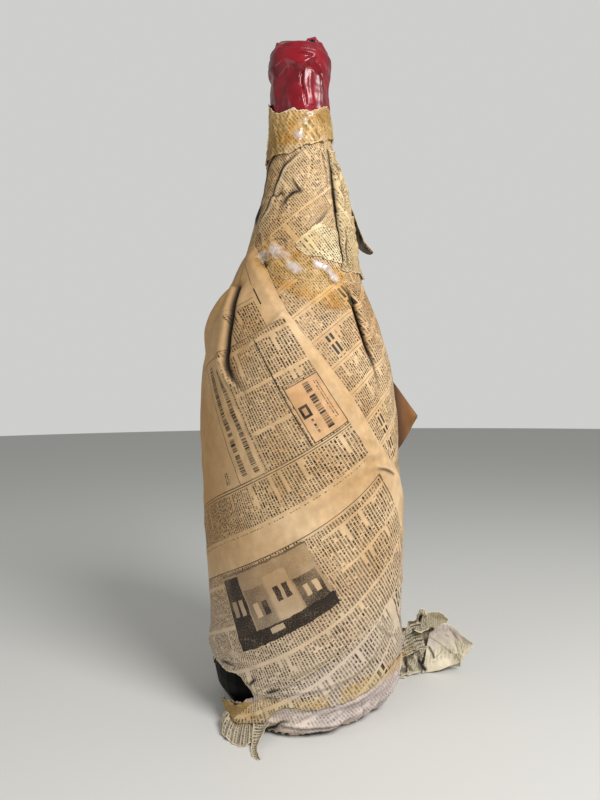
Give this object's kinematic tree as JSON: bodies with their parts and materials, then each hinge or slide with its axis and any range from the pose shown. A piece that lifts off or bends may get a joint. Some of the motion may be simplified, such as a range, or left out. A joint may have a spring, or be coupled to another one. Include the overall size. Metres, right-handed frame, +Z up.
{
  "type": "wrapped wine bottle",
  "caption": "Very large wine bottle, corked and sealed with red wax, wrapped in yellowed newspaper and clear tape, with a crumpled end lying beside its foot.",
  "frame": {"origin": "centre of the folded paper under the bottle, on the surface it stands on", "axes": "+Z up the bottle's axis to the wax; -Y is the front of the wrapping, where the large sheet's slanting edge crosses; +X is the side with the crumpled end"},
  "size_m": [0.2832, 0.2246, 0.6916],
  "materials": {
    "glass": "very dark green bottle glass, smooth",
    "wine": "dark red wine, a solid that stands for the liquid",
    "cork": "natural cork",
    "wax": "glossy deep red sealing wax",
    "newsprint": "yellowed newspaper with brown-black print",
    "pale_newsprint": "newspaper, less yellowed",
    "grey_newsprint": "grey-lavender newspaper",
    "kraft_board": "stiff orange-brown paper",
    "tape": "clear adhesive tape, yellowed and wrinkled"
  },
  "bodies": {
    "bottle": {"glass_bottle": "glass", "wine": "wine", "wax_sleeve": "wax", "inner_wrap": "newsprint", "side_wrap": "newsprint", "outer_wrap": "newsprint", "lower_wrap": "newsprint", "shoulder_wrap": "newsprint", "neck_ridge": "newsprint", "neck_flap": "newsprint", "neck_collar": "pale_newsprint", "shoulder_patch": "pale_newsprint", "crumpled_tail": "pale_newsprint", "foot_skirt": "grey_newsprint", "foot_fold": "grey_newsprint", "foot_strip": "grey_newsprint", "corner_flap": "kraft_board", "neck_tape": "tape", "shoulder_tape": "tape", "foot_tape": "tape"},
    "cork": {"cork": "cork"},
    "crown": {"wax_crown": "wax"}
  },
  "joints": [
    {"name": "cork_pull", "type": "slide", "parent": "bottle", "child": "cork", "axis": [0, 0, 1], "range_m": [0, 0.1]},
    {"name": "wax_lift", "type": "slide", "parent": "cork", "child": "crown", "axis": [0, 0, 1], "range_m": [0, 0.03]}
  ]
}
